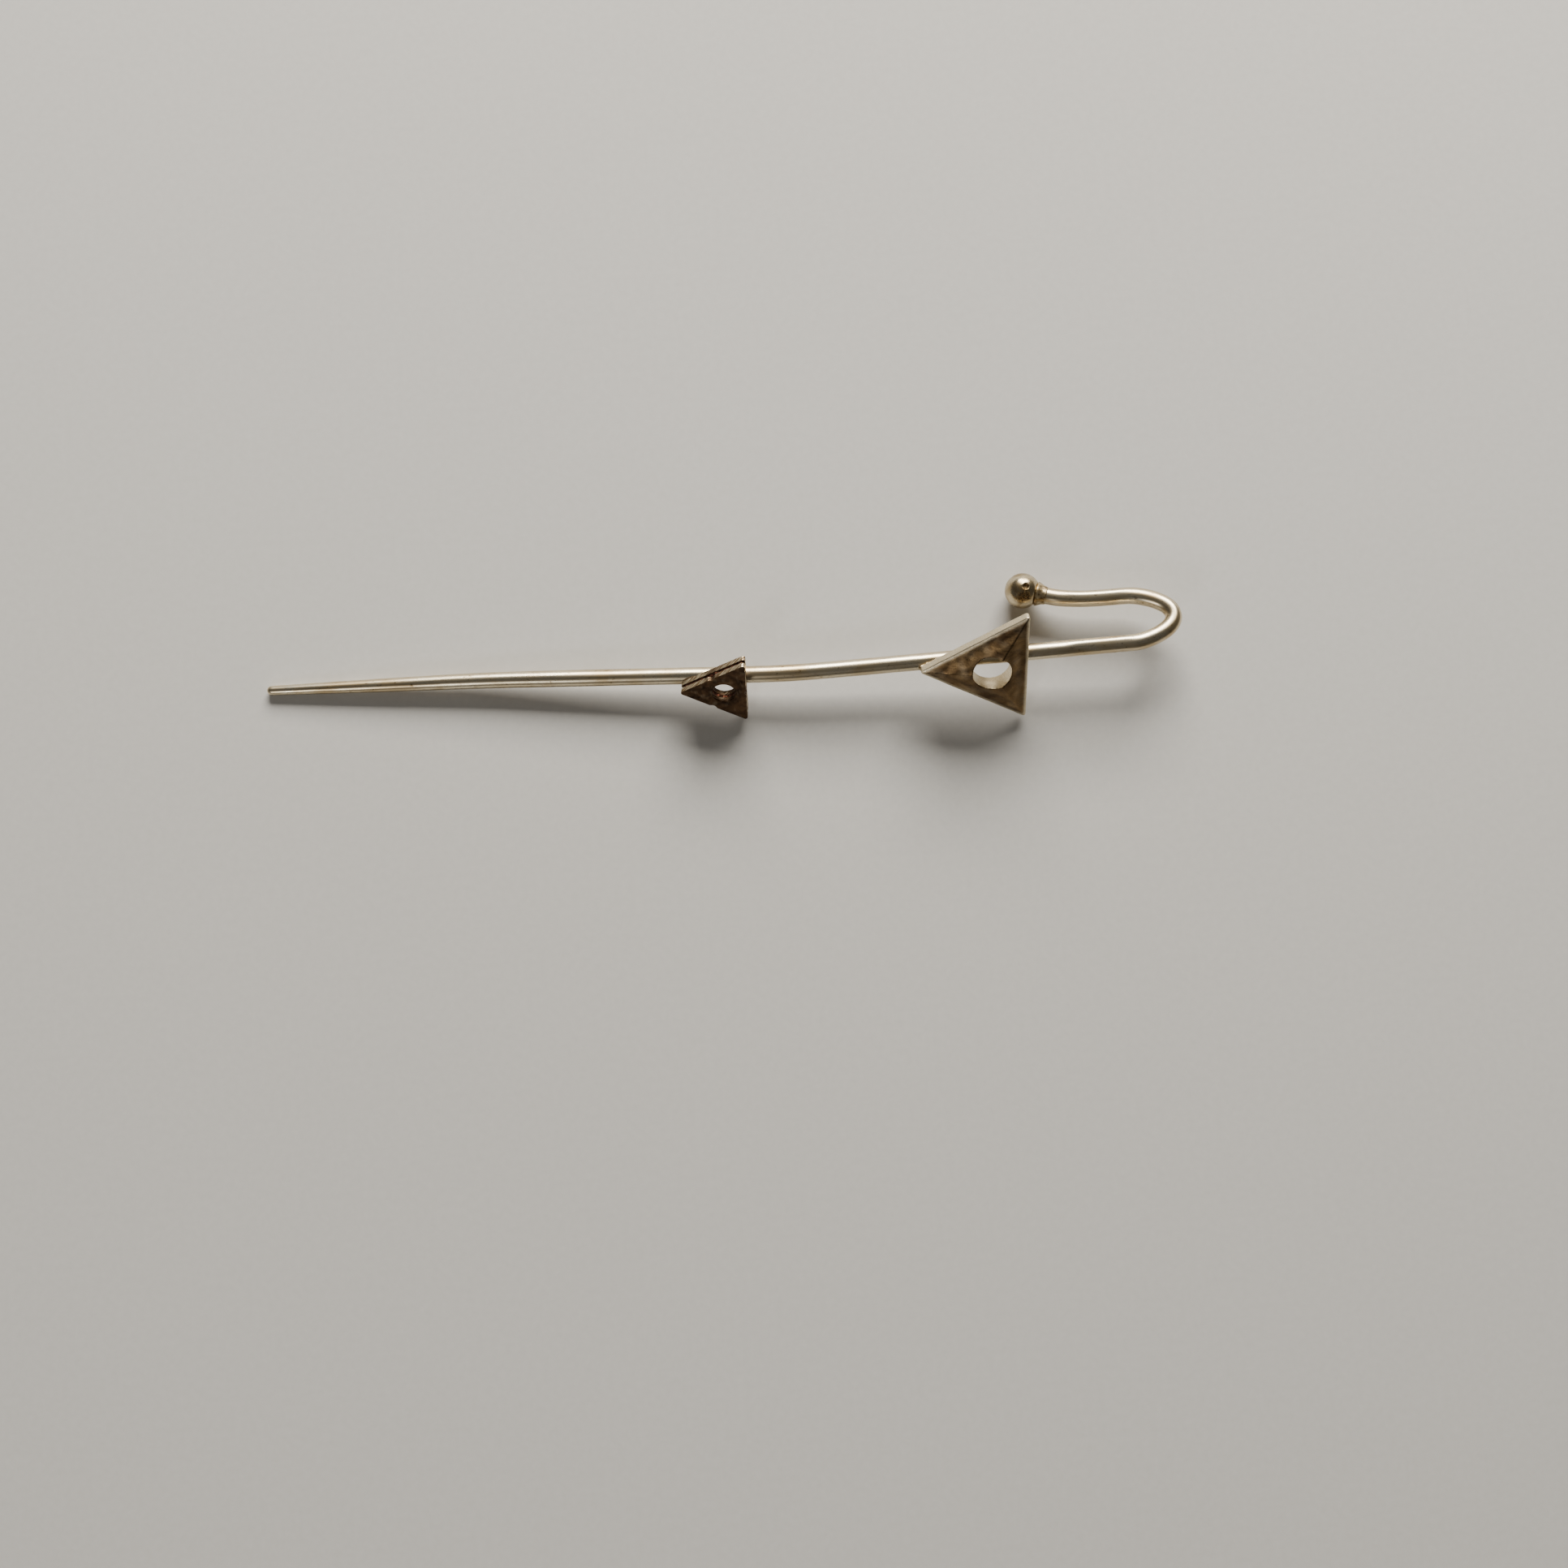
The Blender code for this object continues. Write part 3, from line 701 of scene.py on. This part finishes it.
def make_neck():
    """The solder between ball and wire: a tapering collar, hollow where the ball and the wire are."""
    foot = BALL_RADIUS - NECK_FOOT_DEPTH
    height = NECK_FOOT_LENGTH + NECK_REACH
    collar = new_piece(
        "ball_neck_solder", bpy.ops.mesh.primitive_cone_add, vertices=64,
        radius1=WIRE_RADIUS + NECK_WIDTH - NECK_TRIM, radius2=WIRE_RADIUS + NECK_END_WIDTH,
        depth=height, location=(0, 0, foot + height / 2))
    combine(collar, new_piece(
        "ball_seat", bpy.ops.mesh.primitive_uv_sphere_add, segments=64, ring_count=32,
        radius=BALL_RADIUS - BALL_SEAT_DEPTH), "DIFFERENCE")
    combine(collar, new_piece(
        "wire_seat", bpy.ops.mesh.primitive_cylinder_add, vertices=48,
        radius=WIRE_RADIUS - NECK_SEAT_DEPTH, depth=6.0), "DIFFERENCE")
    soften(collar, SOLDER_GRAIN, 8)

    def ragged(place, normal):
        outside = smoothstep(-0.1, 0.3, normal.dot(Vector((place.x, place.y, 0.25)).normalized()))
        share = min(max((place.z - foot - NECK_FOOT_LENGTH) / NECK_REACH, 0), 1)
        hollow = -0.03 * math.sin(math.pi * share)
        return outside * (hollow + 0.020 * lumps(place, 0.42, 8.0) + 0.006 * lumps(place, 0.16, 3.0))

    rub(collar, ragged)
    lay(collar, ball_matrix(), "ball_solder",
        solder_skin("rough_solder_neck", "#CDBB96", "#7A6342", 0.38))


def edge_share(place, radius_inside):
    """How far a point is inside the nearest side of a triangle that points to -x, in millimetres."""
    return radius_inside - max(
        place.x * math.cos(turn) + place.y * math.sin(turn)
        for turn in SIDE_TURNS)


def make_large():
    """The large ornament: a low pyramid on an upright wall, with a round window and soft edges."""
    inside = inradius(LARGE_SIDE)
    rise = inside * math.tan(LARGE_FACET)
    top = SHEET_OFFSET + LARGE_RIM + rise
    plate = triangle_block("large_ornament", inside, LARGE_CORNER, SHEET_OFFSET, LARGE_RIM + rise)
    depth = 2 * (LARGE_RIM + rise)
    combine(plate, new_piece(
        "facets", bpy.ops.mesh.primitive_cone_add, vertices=3, radius1=2 * depth / math.tan(LARGE_FACET),
        radius2=0.0, depth=depth, location=(0, 0, top - depth / 2),
        rotation=(0, 0, math.pi / 2)), "INTERSECT")
    combine(plate, round_window(window_radius(LARGE_SIDE), 4 * top), "DIFFERENCE")
    soften(plate, LARGE_GRAIN, 3)
    rim_top = SHEET_OFFSET + LARGE_RIM

    def rubbed(place, normal):
        wall = 1 - smoothstep(0.25, 0.6, abs(normal.z))
        edge = 1 - smoothstep(0.05, 0.30, edge_share(place, inside))
        return min(max(wall, 0.8 * edge) + 0.15 * lumps(place, 0.8, 5.0), 1.0)

    def worn(place, normal):
        ripple = 0.016 * lumps(place, 1.3, 7.0) + 0.006 * lumps(place, 0.45, 2.0)
        front = smoothstep(0.2, 0.7, normal.z)
        ridges = 0.010 * front * math.sin(7.0 * edge_share(place, inside) + 2 * lumps(place, 1.5, 3.0))
        return ripple + ridges * (place.z > rim_top - 0.2) - 0.012

    remember(plate, "rubbed", rubbed)
    rub(plate, worn)
    lay(plate, ornament_matrix(LARGE_SIDE, LARGE_FROM_NOSE, 0.0, LARGE_SKEW),
        "large_triangle", hand_polished_brass())


def sheet_block(name, bottom, thickness, inset, window_extra):
    """One flat triangle with a round window."""
    inside = inradius(SMALL_SIDE)
    sheet = triangle_block(name, inside - inset, SMALL_CORNER, bottom, thickness)
    opening = window_radius(SMALL_SIDE) + window_extra
    combine(sheet, round_window(opening, 4 * (bottom + thickness)), "DIFFERENCE")
    return sheet


def finish_sheet(sheet, node, seed):
    inside = inradius(SMALL_SIDE)
    soften(sheet, SMALL_GRAIN, 3)

    def rubbed(place, normal):
        wall = 1 - smoothstep(0.3, 0.65, abs(normal.z))
        outer = smoothstep(0.97 * inside, 1.15 * inside, math.hypot(place.x, place.y))
        return min(max(wall * outer + 0.2 * lumps(place, 0.4, seed), 0.0), 1.0)

    def worn(place, normal):
        wall = 1 - smoothstep(0.3, 0.65, abs(normal.z))
        slant = place.x * 0.8 + place.y * 0.5 + place.z * 1.6
        strokes = math.sin(slant * 19.0 + 4 * lumps(place, 0.7, seed))
        wave = 0.012 * lumps(place, 0.9, seed + 1) + 0.006 * lumps(place, 0.25, seed + 2)
        corner = -0.05 * smoothstep(1.85 * inside, 2 * inside, math.hypot(place.x, place.y))
        return wave + 0.012 * wall * strokes + corner - 0.010

    remember(sheet, "rubbed", rubbed)
    rub(sheet, worn)
    lay(sheet, SMALL_PLACE, node, filed_brass(f"filed_brass_{node}", seed))


def make_small():
    """The small ornament: two filed sheets with a fired seam between them."""
    inside = inradius(SMALL_SIDE)
    back = sheet_block("small_back_ornament", SHEET_OFFSET, SMALL_SHEET, 0.0, 0.0)
    finish_sheet(back, "small_back_sheet", 3.0)
    front_bottom = SHEET_OFFSET + SMALL_SHEET + SMALL_SEAM
    front = sheet_block("small_front_ornament", front_bottom, SMALL_SHEET, 0.0, 0.0)
    reach = inside - SMALL_NOTCH_DEPTH + SMALL_NOTCH_RADIUS
    for turn in SIDE_TURNS:
        combine(front, new_piece(
            "notch", bpy.ops.mesh.primitive_cylinder_add, vertices=32, radius=SMALL_NOTCH_RADIUS, depth=8.0,
            location=(reach * math.cos(turn), reach * math.sin(turn), 0.0)), "DIFFERENCE")
    finish_sheet(front, "small_front_sheet", 11.0)
    seam = sheet_block(
        "small_seam_solder", SHEET_OFFSET + SMALL_SHEET - SEAM_OVERLAP,
        SMALL_SEAM + 2 * SEAM_OVERLAP, SMALL_SEAM_INSET, SMALL_SEAM_INSET / 2)
    soften(seam, SMALL_GRAIN, 4)
    rub(seam, lambda place, normal: (1 - abs(normal.z)) * (
        0.06 * lumps(place, 0.35, 6.0) + 0.03 * lumps(place, 0.13, 2.0)))
    lay(seam, SMALL_PLACE, "small_sheet_solder", fired_seam())


def make_saddle(name, node, side, from_nose, lean, bead_inset, seed):
    """The solder under an ornament's leading corner, with a bead at the end nearest its tip."""
    inside = inradius(side)
    start = -3 * inside + bead_inset + SADDLE_FROM_BEAD
    end = -inside - window_radius(side) - SADDLE_SETBACK
    depth = SHEET_OFFSET - SADDLE_FOOT
    middle = (start + end) / 2
    saddle = new_piece(
        name, bpy.ops.mesh.primitive_cube_add, size=1.0,
        location=(middle, 0.0, SHEET_OFFSET + SADDLE_OVERLAP - depth / 2),
        scale=(end - start, SADDLE_WIDTH, depth))
    bead = new_piece(
        "bead", bpy.ops.mesh.primitive_uv_sphere_add, segments=48, ring_count=24, radius=BEAD_RADIUS,
        location=(-3 * inside + bead_inset, -0.04, SHEET_OFFSET - 0.02), scale=(1.3, 1.0, 0.9))
    combine(saddle, bead, "UNION")
    combine(saddle, new_piece(
        "wire_seat", bpy.ops.mesh.primitive_cylinder_add, vertices=64,
        radius=WIRE_RADIUS - SADDLE_SEAT_DEPTH, depth=60.0,
        rotation=(0, math.pi / 2, 0)), "DIFFERENCE")
    soften(saddle, SOLDER_GRAIN, 6)

    def ragged(place, normal):
        free = smoothstep(0.62, 0.72, math.hypot(place.y, place.z))
        return free * (0.05 * lumps(place, 0.5, seed) + 0.015 * lumps(place, 0.15, seed + 2))

    rub(saddle, ragged)
    lay(saddle, wire_matrix(from_nose, lean), node,
        solder_skin(f"{name}_skin", "#E2D6BC", "#A48A62", 0.34))


# --- floor, light and camera -------------------------------------------------------------------------


def make_floor():
    """A pale matt card, far wider than the pin."""
    floor = new_piece("floor", bpy.ops.mesh.primitive_plane_add, size=FLOOR_SIDE * MM)
    material = bpy.data.materials.new("pale_matt_card")
    material.use_nodes = True
    tree = material.node_tree
    shader = tree.nodes["Principled BSDF"]
    shader.inputs["Roughness"].default_value = 0.85
    fibres = pattern(tree, objectwise(tree), per_mm(0.5, 0.5, 0.5), detail=4.0)
    tone = ramp(tree, fibres, 0.2, 0.8, linear("#CFCCC6"), linear("#D6D3CD"))
    tree.links.new(tone, shader.inputs["Base Color"])
    floor.data.materials.append(material)


def soft_light(name, place, target, width, height, power, colour):
    """An area light at a place in millimetres, turned to a target."""
    light = bpy.data.lights.new(name, "AREA")
    light.shape = "RECTANGLE"
    light.size, light.size_y = width * MM, height * MM
    light.energy = power
    light.color = colour
    item = bpy.data.objects.new(name, light)
    bpy.context.collection.objects.link(item)
    item.location = place * MM
    item.rotation_euler = (target - place).to_track_quat("-Z", "Y").to_euler()


def make_light():
    """A wide soft window on the hook's side, low over the floor, and a weak fill."""
    world = bpy.data.worlds.new("studio")
    world.use_nodes = True
    background = world.node_tree.nodes["Background"]
    background.inputs["Color"].default_value = (1.0, 0.95, 0.88, 1.0)
    background.inputs["Strength"].default_value = 0.07
    bpy.context.scene.world = world
    soft_light(
        "window", place=Vector((60.0, 330.0, 190.0)), target=Vector((0.0, 0.0, 0.0)),
        width=300.0, height=170.0, power=3.6, colour=(1.0, 0.97, 0.91))
    soft_light(
        "fill", place=Vector((-120.0, -207.0, 180.0)), target=Vector((10.0, 0.0, 0.0)),
        width=66.0, height=66.0, power=0.13, colour=(1.0, 0.98, 0.95))


def make_camera():
    """The view from above, turned a little."""
    turn = math.radians(2.985)
    tilt = math.radians(-4.128)
    distance = 140.0
    target = Vector((3.96, -8.97, 0.0))
    facing = Matrix.Rotation(-tilt, 4, "X") @ Matrix.Rotation(-turn, 4, "Z")
    camera = bpy.data.cameras.new("view")
    camera.lens = 45.18
    camera.sensor_width = 36.0
    camera.clip_start = 0.005
    item = bpy.data.objects.new("view", camera)
    bpy.context.collection.objects.link(item)
    place = (target + facing.to_3x3() @ Vector((0.0, 0.0, distance))) * MM
    item.matrix_world = Matrix.Translation(place) @ facing
    bpy.context.scene.camera = item


# --- the pin -----------------------------------------------------------------------------------------

wire, route_points, route_lengths = make_wire()
wire_low = Vector(map(min, *(v.co for v in wire.data.vertices)))
wire_high = Vector(map(max, *(v.co for v in wire.data.vertices)))
cad_wire_low, cad_wire_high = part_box("pin_wire")
SHIFT = (cad_wire_low + cad_wire_high) / 2 / MM - (wire_low + wire_high) / 2
SMALL_PLACE = ornament_matrix(SMALL_SIDE, SMALL_FROM_NOSE, SMALL_LEAN, SMALL_SKEW)

finish_wire(wire, route_points, route_lengths)
make_ball()
make_neck()
make_large()
make_small()
make_saddle(
    "large_ornament_solder", "large_triangle_solder", LARGE_SIDE, LARGE_FROM_NOSE, 0.0,
    LARGE_BEAD_INSET, 4.0)
make_saddle(
    "small_ornament_solder", "small_triangle_solder", SMALL_SIDE, SMALL_FROM_NOSE, SMALL_LEAN,
    SMALL_BEAD_INSET, 9.0)
make_floor()
make_light()
make_camera()
